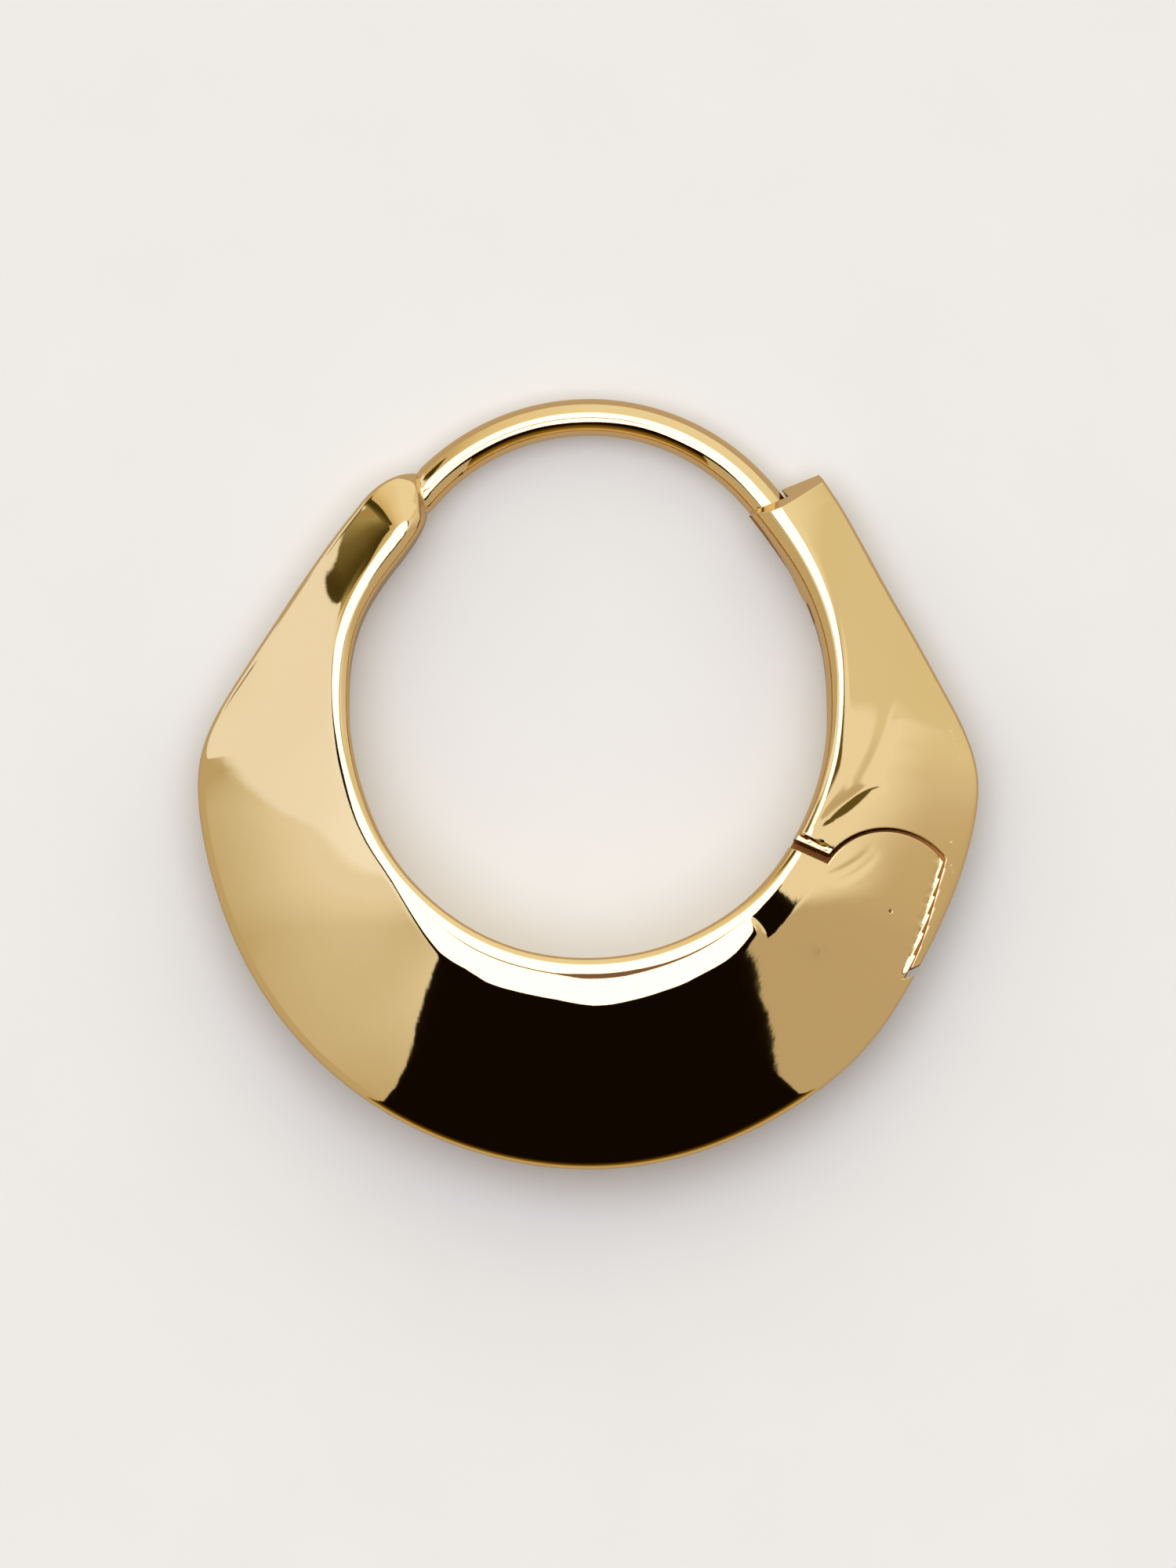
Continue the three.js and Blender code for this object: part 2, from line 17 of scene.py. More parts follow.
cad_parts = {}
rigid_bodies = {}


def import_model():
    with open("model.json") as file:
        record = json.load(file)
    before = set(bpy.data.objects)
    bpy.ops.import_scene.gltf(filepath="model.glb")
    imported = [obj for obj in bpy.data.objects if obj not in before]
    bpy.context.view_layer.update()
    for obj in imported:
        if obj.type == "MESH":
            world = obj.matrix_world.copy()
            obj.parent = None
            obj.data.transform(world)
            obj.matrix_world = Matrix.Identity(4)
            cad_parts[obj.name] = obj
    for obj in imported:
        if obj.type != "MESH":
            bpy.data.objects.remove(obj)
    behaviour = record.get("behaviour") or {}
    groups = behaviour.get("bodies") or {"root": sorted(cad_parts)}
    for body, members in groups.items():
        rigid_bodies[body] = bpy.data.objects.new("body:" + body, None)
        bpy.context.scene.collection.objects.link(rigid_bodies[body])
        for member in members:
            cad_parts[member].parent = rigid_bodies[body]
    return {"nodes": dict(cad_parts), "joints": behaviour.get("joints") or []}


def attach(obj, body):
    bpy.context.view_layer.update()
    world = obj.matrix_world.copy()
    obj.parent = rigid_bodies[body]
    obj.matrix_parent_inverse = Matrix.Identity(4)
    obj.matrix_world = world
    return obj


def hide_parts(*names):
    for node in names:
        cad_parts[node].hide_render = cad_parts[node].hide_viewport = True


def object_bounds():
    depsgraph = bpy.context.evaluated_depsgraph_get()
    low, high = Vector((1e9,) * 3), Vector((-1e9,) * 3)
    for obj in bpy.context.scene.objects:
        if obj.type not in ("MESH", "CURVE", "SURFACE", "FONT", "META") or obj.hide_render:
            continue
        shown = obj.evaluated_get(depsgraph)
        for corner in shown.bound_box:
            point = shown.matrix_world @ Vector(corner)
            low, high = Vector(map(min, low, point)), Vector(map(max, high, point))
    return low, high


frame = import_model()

CAD_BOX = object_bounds()

bl_info = {
    "name": "Hinged hoop earring",
    "version": (1, 0, 0),
    "blender": (4, 5, 0),
    "location": "View3D > Sidebar > Earring",
    "description": "Builds the polished hoop, its hinged arm and a small studio around the packed frame",
    "category": "Add Mesh",
}

MM = 0.001

# ---------------------------------------------------------------- sizes of the hoop

# Cross sections of the crescent, from the fixed tip round the bottom to the tip of the arm: an inner
# and an outer edge point about FAN_CENTRE, the distance of the ridge from the inner edge, half the
# thickness of the outer edge, the distance of the bead's crest from the inner edge, and the height of
# its rounded shoulder over the upright inner wall.
SECTION_COLUMNS = (
    "inner_angle", "inner_radius", "outer_angle", "outer_radius", "ridge", "rim", "crest", "shoulder",
)
SECTIONS = np.array([
    (136.5, 6.70, 136.5, 8.48, 0.68, 0.74, 0.46, 0.34),
    (140, 6.66, 140, 8.45, 0.68, 0.70, 0.48, 0.34),
    (148, 6.67, 148, 8.48, 0.66, 0.60, 0.42, 0.33),
    (156, 6.69, 156, 8.63, 0.63, 0.46, 0.37, 0.31),
    (164, 6.64, 164, 8.93, 0.61, 0.33, 0.36, 0.30),
    (172, 6.55, 172, 9.43, 0.58, 0.24, 0.36, 0.30),
    (179, 6.49, 179, 10.04, 0.54, 0.20, 0.36, 0.31),
    (186, 6.46, 186, 10.60, 0.49, 0.19, 0.34, 0.33),
    (194, 6.45, 194, 10.89, 0.46, 0.18, 0.31, 0.34),
    (204, 6.48, 204, 11.14, 0.43, 0.18, 0.28, 0.33),
    (216, 6.57, 216, 11.49, 0.40, 0.18, 0.24, 0.27),
    (229, 6.64, 229, 11.84, 0.70, 0.18, 0.23, 0.22),
    (242, 6.70, 242, 12.09, 1.05, 0.18, 0.25, 0.21),
    (256, 6.73, 256, 12.26, 1.12, 0.18, 0.25, 0.21),
    (271, 6.72, 271, 12.34, 1.24, 0.18, 0.26, 0.21),
    (285, 6.72, 285, 12.24, 1.19, 0.18, 0.26, 0.21),
    (298, 6.70, 298, 12.03, 1.08, 0.19, 0.26, 0.22),
    (310, 6.68, 310, 11.78, 0.76, 0.22, 0.27, 0.25),
    (322, 6.61, 322, 11.34, 0.48, 0.28, 0.30, 0.34),
    (333, 6.55, 333, 11.09, 0.44, 0.18, 0.30, 0.42),
    (343, 6.53, 343, 10.95, 0.44, 0.14, 0.30, 0.46),
    (351, 6.52, 351, 10.76, 0.48, 0.16, 0.34, 0.47),
    (358, 6.52, 358, 10.27, 0.50, 0.19, 0.37, 0.48),
    (365, 6.54, 365, 9.68, 0.55, 0.20, 0.41, 0.50),
    (374, 6.62, 373, 9.21, 0.60, 0.22, 0.45, 0.52),
    (384, 6.71, 382, 8.90, 0.68, 0.28, 0.51, 0.54),
    (394, 6.80, 390.5, 8.84, 0.77, 0.36, 0.59, 0.57),
    (404, 6.91, 398, 8.94, 0.88, 0.45, 0.70, 0.60),
    (414, 7.14, 406.5, 9.15, 0.93, 0.50, 0.72, 0.60),
])
FAN_CENTRE = np.array([-0.03, -0.49])
BODY_LAST_ROW = 20
ARM_FIRST_ROW = 17
LAST_ROW = len(SECTIONS) - 1

RIDGE_BOTTOM = (-8.3, 2.0)       # y and height of the ridge at the bottom of the hoop
RIDGE_TIP = (5.2, 1.05)          # and at the tips
RIDGE_SAG = 0.04

CROWN_SLOPE = 0.80               # share of the face's slope that the crown reaches at the ridge
CROWN_MOST = 0.24                # and the steepest it gets
CROWN_BEND = 0.40                # where along the crown most of its bend lies
RIDGE_ROUND = 0.10
FACE_DOME = 0.02                 # how far the face stands over its chord, in its widths
DOME_PLACE = 0.45
RIM_ROUND = 0.15
RIM_ROUND_SHARE = 0.8

FLAT_ROWS = (16.80, 18.75)        # a flat is filed beside the bead, next to the hinge
FLAT_FADE = (0.12, 1.0)
FLAT_START = 0.42                # its inner and outer edge, from the inner edge of the hoop
FLAT_END = 1.16

WIRE_CENTRE = np.array([0.02, 1.70])
WIRE_CIRCLE = 6.02
WIRE_RADIUS = 0.5
WIRE_ROOT = (143, 136.5)
WIRE_SQUARE_ANGLE = 122
NECK_DEPTH = 0.03
NECK_LENGTH = 0.16
FREE_END_START = 42
FREE_END_END = 21
FREE_END_CIRCLE = 10.2
TIP_SHOULDER = np.array([-5.50, 6.16])
TIP_NOSE = np.array([-4.44, 4.72])

PIVOT = np.array([8.12, -5.60])
EAR_RADIUS = 1.90
KNUCKLE_GAP = 0.12
TONGUE_RADIUS = 1.88
SLOT_RADIUS = 2.10
TONGUE_HALF = 0.345
SLOT_HALF = 0.36
EAR_BORE = (0.37, 0.52)          # radius and half depth
TONGUE_BORE = 0.39
PIT = np.array([8.20, -5.84])    # a small pit in the ear's face over the end of the pin
PIT_RADIUS = 0.045
PIT_FLOOR = 0.70
SHOULDER_START = np.array([5.46, -4.17])
SHOULDER_ANGLE = -23
SHOULDER_GAP = 0.27
TONGUE_SHOULDER = -0.18
SLOT_SHOULDER = -0.32
CATCH_CLEARANCE = 0.08
CATCH_LENGTH_SPARE = 0.35
CATCH_INSIDE = 1.5
CATCH_TURN = 42
TIP_LEAN = 0.54

# ---------------------------------------------------------------- where the hoop lies

ARM_JOINT = frame["joints"][0]
HOOP_UP = -np.array(ARM_JOINT["axis"], float) / np.linalg.norm(ARM_JOINT["axis"])
HOOP_X = np.array([1.0, 0.0, 0.0])
HOOP_TURN = np.stack([HOOP_X, np.cross(HOOP_UP, HOOP_X), HOOP_UP], axis=1)
HOOP_ORIGIN = np.array(ARM_JOINT["pos_m"]) - HOOP_TURN @ (np.append(PIVOT, 0.0) * MM)
BODY = ARM_JOINT["parent"]
ARM = ARM_JOINT["child"]


def to_row(points):
    """Hoop-frame millimetres to row-frame metres: turn, scale and shift."""
    return points @ HOOP_TURN.T * MM + HOOP_ORIGIN


# ---------------------------------------------------------------- arithmetic helpers


def natural_spline(values, at):
    """Natural cubic spline through the rows of values at 0, 1, 2 ..., read at the array `at`."""
    count = len(values)
    system = np.eye(count)
    inside = np.arange(1, count - 1)
    system[inside, inside] = 4
    system[inside, inside - 1] = 1
    system[inside, inside + 1] = 1
    pull = np.zeros_like(values, dtype=float)
    pull[1:-1] = 6 * (values[2:] - 2 * values[1:-1] + values[:-2])
    bend = np.linalg.solve(system, pull)
    start = np.clip(np.floor(at).astype(int), 0, count - 2)
    b = (at - start)[:, None]
    a = 1 - b
    straight = a * values[start] + b * values[start + 1]
    return straight + ((a**3 - a) * bend[start] + (b**3 - b) * bend[start + 1]) / 6


def polar(centre, angle, radius):
    """Points at an angle in degrees and a radius about a centre."""
    turn = np.radians(angle)
    return np.stack([centre[0] + radius * np.cos(turn), centre[1] + radius * np.sin(turn)], -1)


def mix(a, b, share):
    return a + (b - a) * share


def bezier(points, t):
    """Bezier curves through arrays of control points: one curve for each row, read at the shares t."""
    degree = len(points) - 1
    weights = [math.comb(degree, i) * t**i * (1 - t) ** (degree - i) for i in range(degree + 1)]
    return sum(w[None, :, None] * p[:, None, :] for w, p in zip(weights, points))


def shares(steps):
    return np.arange(1, steps + 1) / steps


def smooth_step(x):
    x = np.clip(x, 0, 1)
    return x * x * (3 - 2 * x)


# ---------------------------------------------------------------- sections


def ridge_height(y):
    """Height of the ridge over the mid-plane: falls evenly from the bottom to the tips, sagging a little."""
    share = (y - RIDGE_BOTTOM[0]) / (RIDGE_TIP[0] - RIDGE_BOTTOM[0])
    return mix(RIDGE_BOTTOM[1], RIDGE_TIP[1], share) - 4 * RIDGE_SAG * share * (1 - share)


PROFILE_STEPS = {"wall": 3, "shoulder": 10, "crown": 8, "ridge": 6, "face": 56, "rim": 5, "land": 2}
HALF_POINTS = 1 + sum(PROFILE_STEPS.values())


def upper_profile(width, ridge, height, rim, crest_x, shoulder):
    """Upper half of each section, from the inner to the outer edge.

    An upright wall, a quarter-ellipse shoulder up to the crest, a crown that bends down to the ridge,
    a rounded ridge, a face that stands FACE_DOME over its chord, a rounded rim and an upright land.
    """
    steps = PROFILE_STEPS
    column = lambda x, y: np.stack(np.broadcast_arrays(x, y), -1).astype(float)
    top = column(ridge, height)
    rim_corner = column(width, rim)
    bow = mix(top, rim_corner, DOME_PLACE) + column(0 * ridge, FACE_DOME * (width - ridge))
    face_way = bow - top
    face_way /= np.linalg.norm(face_way, axis=-1, keepdims=True)
    slope = np.minimum(-face_way[:, 1] / face_way[:, 0] * CROWN_SLOPE, CROWN_MOST)
    crown_end = column(ridge - RIDGE_ROUND, height + slope * RIDGE_ROUND)
    crown_length = crown_end[:, 0] - crest_x
    crest_y = crown_end[:, 1] + slope * crown_length * (1 - CROWN_BEND)
    wall_top = column(0 * ridge, crest_y - shoulder)
    crest = column(crest_x, crest_y)
    face_start = top + face_way * RIDGE_ROUND
    rim_round = np.minimum(RIM_ROUND, RIM_ROUND_SHARE * rim)
    face_end_way = bow - rim_corner
    face_end_way /= np.linalg.norm(face_end_way, axis=-1, keepdims=True)
    face_end = rim_corner + face_end_way * rim_round[:, None]
    land = column(width, rim - rim_round)
    round_share = 0.5523
    parts = [
        bezier([0 * top, wall_top], np.append(0.0, shares(steps["wall"]))),
        bezier([
            wall_top,
            wall_top + column(0 * shoulder, shoulder * round_share),
            crest - column(crest_x * round_share, 0 * shoulder),
            crest,
        ], shares(steps["shoulder"])),
        bezier([
            crest, crest + column(crown_length * CROWN_BEND, 0 * shoulder), crown_end,
        ], shares(steps["crown"])),
        bezier([crown_end, top, face_start], shares(steps["ridge"])),
        bezier([face_start, bow, face_end], shares(steps["face"])),
        bezier([face_end, rim_corner, land], shares(steps["rim"])),
        bezier([land, column(width, 0 * rim)], shares(steps["land"])),
    ]
    return np.concatenate(parts, axis=1)


def height_at(upper, across):
    """Height of each section where it lies `across` from the inner edge, read between two of its points."""
    after = (upper[..., 0] < across).sum(axis=1)
    row = np.arange(len(upper))
    low, high = upper[row, after - 1], upper[row, after]
    return mix(low[:, 1], high[:, 1], (across - low[:, 0]) / (high[:, 0] - low[:, 0]))


def filed_flat(at, upper):
    """Upper halves of the sections with a flat filed beside the bead: a chord from FLAT_START to
    FLAT_END, which fades in and out along the rows."""
    rows_in, rows_out = FLAT_ROWS
    window = smooth_step((at - rows_in) / FLAT_FADE[0]) * smooth_step((rows_out - at) / FLAT_FADE[1])
    share = (upper[..., 0] - FLAT_START) / (FLAT_END - FLAT_START)
    chord = mix(height_at(upper, FLAT_START)[:, None], height_at(upper, FLAT_END)[:, None], share)
    window = window[:, None] * (share > 0) * (share < 1)
    return np.stack([upper[..., 0], mix(upper[..., 1], chord, window)], -1)


def crescent_sections(at):
    """Inner and outer edge points and upper halves of the crescent's sections at the table rows `at`."""
    values = natural_spline(SECTIONS, at)
    cell = {name: values[:, i] for i, name in enumerate(SECTION_COLUMNS)}
    inner = polar(FAN_CENTRE, cell["inner_angle"], cell["inner_radius"])
    outer = polar(FAN_CENTRE, cell["outer_angle"], cell["outer_radius"])
    width = np.linalg.norm(outer - inner, axis=1)
    ridge_y = mix(inner[:, 1], outer[:, 1], cell["ridge"] / width)
    upper = upper_profile(
        width, cell["ridge"], ridge_height(ridge_y), cell["rim"], cell["crest"], cell["shoulder"],
    )
    return inner, outer, filed_flat(at, upper)


def rings(inner, outer, upper):
    """Closed rings: over the top of each section from the inner to the outer edge, back underneath."""
    way = outer - inner
    way /= np.linalg.norm(way, axis=1, keepdims=True)
    lower = upper[:, -2:0:-1] * np.array([1, -1])
    ring = np.concatenate([upper, lower], axis=1)
    plan = inner[:, None] + way[:, None] * ring[..., :1]
    return np.concatenate([plan, ring[..., 1:]], axis=-1)


# ---------------------------------------------------------------- ear wire and fixed tip

ROOT_ANGLE = sum(WIRE_ROOT) / 2
ROOT_SKEW = (WIRE_ROOT[0] - WIRE_ROOT[1]) / 2
FREE_CENTRE = polar(WIRE_CENTRE, FREE_END_START, WIRE_CIRCLE - FREE_END_CIRCLE)


def beside_wire(angle, offset):
    """Points beside the wire's centre line, which bends less on its free end."""
    free = (angle < FREE_END_START)[:, None]
    return np.where(
        free,
        polar(FREE_CENTRE, angle, FREE_END_CIRCLE + offset),
        polar(WIRE_CENTRE, angle, WIRE_CIRCLE + offset),
    )


def wire_sections(angle, radius):
    """Round sections of the wire. Near the root they are skewed, as the solder joint is."""
    root_share = np.clip((angle - WIRE_SQUARE_ANGLE) / (ROOT_ANGLE - WIRE_SQUARE_ANGLE), 0, None)
    skew = ROOT_SKEW * root_share**2
    inner = beside_wire(angle + skew, -radius)
    outer = beside_wire(angle - skew, radius)
    width = np.linalg.norm(outer - inner, axis=1)[:, None]
    turn = np.pi * np.arange(HALF_POINTS)[None] / (HALF_POINTS - 1)
    upper = np.stack([width * (1 - np.cos(turn)) / 2, radius[:, None] * np.sin(turn)], -1)
    return inner, outer, upper


def wire_run(dome_steps, steps):
    """The wire from its domed free end to its root, thinned a little where it leaves the solder."""
    dome_angle = math.degrees(WIRE_RADIUS / FREE_END_CIRCLE)
    turn = np.radians(90 * (1 - np.arange(1, dome_steps) / dome_steps))
    dome = FREE_END_END + dome_angle * (1 - np.sin(turn))
    along = mix(FREE_END_END + dome_angle, ROOT_ANGLE, np.linspace(0, 1, steps))
    from_root = np.radians(ROOT_ANGLE - along) * WIRE_CIRCLE
    radius = WIRE_RADIUS - NECK_DEPTH * np.exp(-((from_root / NECK_LENGTH) ** 2))
    return wire_sections(np.append(dome, along), np.append(WIRE_RADIUS * np.cos(turn), radius))


def fixed_tip(steps):
    """The rounded end of the fixed tip: the wire's root swells into the first crescent section."""
    root = [part[-1:] for part in wire_run(2, 2)]
    first = [part[:1] for part in crescent_sections(np.array([0.0, 1.0]))]
    turn = (np.pi / 2) * np.arange(1, steps) / steps
    along = np.cos(turn)
    swell = np.sin(turn)[:, None]
    inner = bezier([first[0], TIP_NOSE[None], root[0]], along)[0]
    outer = bezier([first[1], TIP_SHOULDER[None], root[1]], along)[0]
    width = np.linalg.norm(outer - inner, axis=1)[:, None]
    first_width = np.linalg.norm(first[1] - first[0])
    root_width = np.linalg.norm(root[1] - root[0])
    across = width * mix(root[2][..., 0] / root_width, first[2][..., 0] / first_width, swell)
    height = mix(root[2][..., 1], first[2][..., 1], swell)
    return inner, outer, np.stack([across, height], -1)


# ---------------------------------------------------------------- low relief left by casting and filing

# Each fold runs from its start to its end, bowed sideways by `bow`, with a half width and a height.
FOLD_COLUMNS = ("start_x", "start_y", "end_x", "end_y", "bow", "half_width", "height")
ARM_FOLDS = np.array([
    (8.28, 0.10, 6.60, -3.42, 0.32, 0.20, -0.012),
    (8.00, -2.32, 6.15, -3.66, -0.10, 0.15, -0.027),
    (7.78, -2.58, 6.60, -3.36, -0.06, 0.06, 0.004),
    (7.10, -2.30, 6.45, -3.20, 0.10, 0.12, -0.006),
    (8.30, 2.60, 8.45, -0.60, -0.12, 0.35, -0.010),
])
EAR_FOLDS = np.array([
    (6.35, -4.98, 7.75, -4.10, -0.12, 0.10, -0.0035),
    (6.60, -5.12, 7.90, -4.20, -0.14, 0.10, -0.0030),
])
EDGE_LEVEL = 0.385               # the ear's thin edge over the slot is beaten level at this height,
EDGE_RANGE = (0.355, 0.425)      # where its face lies between these heights
EDGE_DROP = 0.08                 # beyond the level strip the edge breaks off
END_LEVEL = 1.43                 # the arm's end is filed off beside the shoulder, down to this height
END_RISE = 0.12                  # at END_CORNER along the shoulder, and rising so towards the bead
END_CORNER = 1.06
END_WIDTH = 0.17


def folds(points, table):
    """Height of low folds at plan points: a bell across each fold, which rises and fades along it."""
    cell = {name: table[:, i] for i, name in enumerate(FOLD_COLUMNS)}
    start = np.stack([cell["start_x"], cell["start_y"]], -1)
    along = np.stack([cell["end_x"], cell["end_y"]], -1) - start
    length = np.linalg.norm(along, axis=-1)
    along /= length[:, None]
    across = np.stack([-along[:, 1], along[:, 0]], -1)
    from_start = points[..., None, :2] - start
    share = np.clip((from_start * along).sum(-1) / length, 0, 1)
    aside = (from_start * across).sum(-1) - 4 * cell["bow"] * share * (1 - share)
    rise = (4 * share * (1 - share)) ** 0.7
    return (cell["height"] * rise * np.exp(-((aside / cell["half_width"]) ** 2))).sum(-1)


def beaten_edge(points):
    """Depth by which the ear's thin edge is beaten level inside the ear's circle, unevenly along it."""
    from_pivot = points[..., :2] - PIVOT
    turn = np.degrees(np.arctan2(from_pivot[..., 1], from_pivot[..., 0]))
    low, high = EDGE_RANGE
    high = high + 0.010 * np.sin(turn * 1.1) + 0.008 * np.sin(turn * 0.43 + 1)
    height = points[..., 2]
    worn = (height > low / 2) & (height < high) & (np.linalg.norm(from_pivot, axis=-1) < EAR_RADIUS + 0.1)
    return np.where(worn, np.where(height > low, height - EDGE_LEVEL, EDGE_DROP), 0)


def filed_end(points):
    """Depth by which the arm's end is filed off beside the shoulder."""
    along = polar(np.zeros(2), SHOULDER_ANGLE, 1.0)
    across = np.array([-along[1], along[0]])
    distance = (points[..., :2] - SHOULDER_START) @ across - SHOULDER_GAP
    level = END_LEVEL + END_RISE * (END_CORNER - (points[..., :2] - SHOULDER_START) @ along)
    return np.clip(points[..., 2] - level, 0, None) * smooth_step((END_WIDTH - distance) / 0.04 + 0.5)


# ---------------------------------------------------------------- meshes

# The faces that a cutter leaves are rough metal, coloured dark copper as painted shade inside the hinge's gaps.
FINISHES = ("gold_finish", "cut_shade_finish")     # of the skin, and of the faces that a cutter leaves

# Smooth curves bulge some thousandths of a millimetre past the faceted solids, so the finished
# pieces are lifted and drawn in by that much and stay inside the solids' box.
BOX_LIFT = np.array([0, 0, 2e-6])
BOX_FIT = np.array([0.9994, 0.9996, 0.9980])



def mesh_from(points, faces, name):
    """A mesh from an array of points and a list or array of faces."""
    mesh = bpy.data.meshes.new(name)
    mesh.from_pydata(points.tolist(), [], faces)
    mesh.update()
    return mesh


def skin(points):
    """Quads between neighbouring rings of points, given as (rings, points in a ring, 3)."""
    count, sides = points.shape[:2]
    ring, side = np.meshgrid(np.arange(count - 1), np.arange(sides), indexing="ij")
    after = (side + 1) % sides
    quads = np.stack([
        ring * sides + side,
        ring * sides + after,
        (ring + 1) * sides + after,
        (ring + 1) * sides + side,
    ], -1).reshape(-1, 4)
    return quads


def shown_object(name, mesh, finishes=()):
    """Puts a mesh in the scene. Its faces take the last of the finishes when it is a cutter."""
    for finish in finishes:
        mesh.materials.append(bpy.data.materials[finish])
    piece = bpy.data.objects.new(name, mesh)
    bpy.context.scene.collection.objects.link(piece)
    return piece


def closed_skin(name, points):
    """Quads between neighbouring rings. Each end is closed by two faces that meet on the mid-plane."""
    count, sides = points.shape[:2]
    half = sides // 2
    faces = skin(points).tolist()
    for first in (0, (count - 1) * sides):
        upper = [first + j for j in range(half + 1)]
        lower = [first] + [first + j for j in range(half, sides)]
        faces += [upper[::-1], lower[::-1]] if first == 0 else [upper, lower]
    return shown_object(name, mesh_from(points.reshape(-1, 3), faces, name), FINISHES)


def prism(name, outline, low, high):
    """Upright prism over a plan outline given anticlockwise."""
    count = len(outline)
    lower = np.column_stack([outline, np.full(count, float(low))])
    upper = np.column_stack([outline, np.full(count, float(high))])
    here = np.arange(count)
    after = (here + 1) % count
    faces = np.stack([here, after, after + count, here + count], -1).tolist()
    faces.append(list(range(count))[::-1])
    faces.append(list(range(count, 2 * count)))
    mesh = mesh_from(np.concatenate([lower, upper]), faces, name)
    mesh.polygons.foreach_set("material_index", np.ones(len(mesh.polygons), np.int32))
    return shown_object(name, mesh, FINISHES)


def round_plug(name, radius, half_height, sides=160):
    outline = polar(PIVOT, np.arange(sides) * 360 / sides, radius)
    return prism(name, outline, -half_height, half_height)


def combine(target, other, operation):
    """Joins, cuts or keeps the shared part of two closed meshes, and removes the second one."""
    change = target.modifiers.new(operation.lower(), "BOOLEAN")
    change.operation = operation
    change.solver = "EXACT"
    change.material_mode = "INDEX"
    change.object = other
    bpy.context.view_layer.update()
    graph = bpy.context.evaluated_depsgraph_get()
    result = bpy.data.meshes.new_from_object(target.evaluated_get(graph), depsgraph=graph)
    target.modifiers.clear()
    old = target.data
    target.data = result
    bpy.data.meshes.remove(old)
    used = other.data
    bpy.data.objects.remove(other)
    bpy.data.meshes.remove(used)
    if not len(result.polygons):
        raise RuntimeError(f"{target.name} lost all its faces in a {operation.lower()}")
    split_wide_faces(result)
    return target


def split_wide_faces(mesh):
    """Splits every face of more than four corners into triangles."""
    work = bmesh.new()
    work.from_mesh(mesh)
    wide = [face for face in work.faces if len(face.verts) > 4]
    bmesh.ops.triangulate(work, faces=wide)
    work.to_mesh(mesh)
    work.free()


def finish_piece(piece, body, node, sharp_angle=34):
    """Puts a finished mesh in the row frame, shades it smooth and hands it to the frame."""
    mesh = piece.data
    mesh.name = piece.name
    points = np.zeros(len(mesh.vertices) * 3, np.float32)
    mesh.vertices.foreach_get("co", points)
    moved = (to_row(points.reshape(-1, 3).astype(float)) + BOX_LIFT) * BOX_FIT
    mesh.vertices.foreach_set("co", moved.astype(np.float32).ravel())
    mesh.shade_smooth()
    mesh.set_sharp_from_angle(angle=math.radians(sharp_angle))
    mesh.update()
    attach(piece, body)
    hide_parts(node)
    return piece


# ---------------------------------------------------------------- plan outlines of the hinge


def shoulder_line(x, offset):
    """Point of a line parallel to the shoulder, offset towards the arm."""
    along = polar(np.zeros(2), SHOULDER_ANGLE, 1.0)
    across = np.array([-along[1], along[0]])
    foot = SHOULDER_START + across * offset
    return np.array([x, foot[1] + (x - foot[0]) * along[1] / along[0]])


def beyond_shoulder(name, offset, left, right, top, half_height):
    outline = np.array([
        shoulder_line(left, offset),
        shoulder_line(right, offset),
        (right, top),
        (left, top),
    ])
    return prism(name, outline, -half_height, half_height)


HINGE_BOX = (4.6, 12.0, 0.5)
ARM_BOX = (3.6, 12.0, 8.0)
CUTTER_REACH = 4


# ---------------------------------------------------------------- finishes


def clear_nodes(tree):
    tree.nodes.clear()
    return tree.nodes, tree.links


def gold_material(name, colour, roughness, wave, edge):
    """Polished metal: colour and roughness drift a little, shallow polishing waves bend its
    reflections, and sharp edges catch the light as if worn round."""
    material = bpy.data.materials.new(name)
    material.use_nodes = True
    nodes, links = clear_nodes(material.node_tree)
    output = nodes.new("ShaderNodeOutputMaterial")
    shader = nodes.new("ShaderNodeBsdfPrincipled")
    shader.inputs["Metallic"].default_value = 1.0
    links.new(shader.outputs["BSDF"], output.inputs["Surface"])
    place = nodes.new("ShaderNodeTexCoord")
    drift = nodes.new("ShaderNodeTexNoise")
    drift.inputs["Scale"].default_value = 180.0
    drift.inputs["Detail"].default_value = 3.0
    links.new(place.outputs["Object"], drift.inputs["Vector"])
    tint = nodes.new("ShaderNodeValToRGB")
    tint.color_ramp.elements[0].color = (*[c * 0.985 for c in colour], 1)
    tint.color_ramp.elements[1].color = (*colour, 1)
    links.new(drift.outputs["Fac"], tint.inputs["Fac"])
    links.new(tint.outputs["Color"], shader.inputs["Base Color"])
    gloss = nodes.new("ShaderNodeMapRange")
    gloss.inputs["To Min"].default_value = roughness * 0.7
    gloss.inputs["To Max"].default_value = roughness * 1.3
    links.new(drift.outputs["Fac"], gloss.inputs["Value"])
    links.new(gloss.outputs["Result"], shader.inputs["Roughness"])
    waves = nodes.new("ShaderNodeTexNoise")
    waves.inputs["Scale"].default_value = 1400.0
    waves.inputs["Detail"].default_value = 3.0
    links.new(place.outputs["Object"], waves.inputs["Vector"])
    worn = nodes.new("ShaderNodeBevel")
    worn.samples = 6
    worn.inputs["Radius"].default_value = edge
    bump = nodes.new("ShaderNodeBump")
    bump.inputs["Strength"].default_value = 1.0
    bump.inputs["Distance"].default_value = wave
    links.new(waves.outputs["Fac"], bump.inputs["Height"])
    links.new(worn.outputs["Normal"], bump.inputs["Normal"])
    links.new(bump.outputs["Normal"], shader.inputs["Normal"])
    return material


# ---------------------------------------------------------------- settings


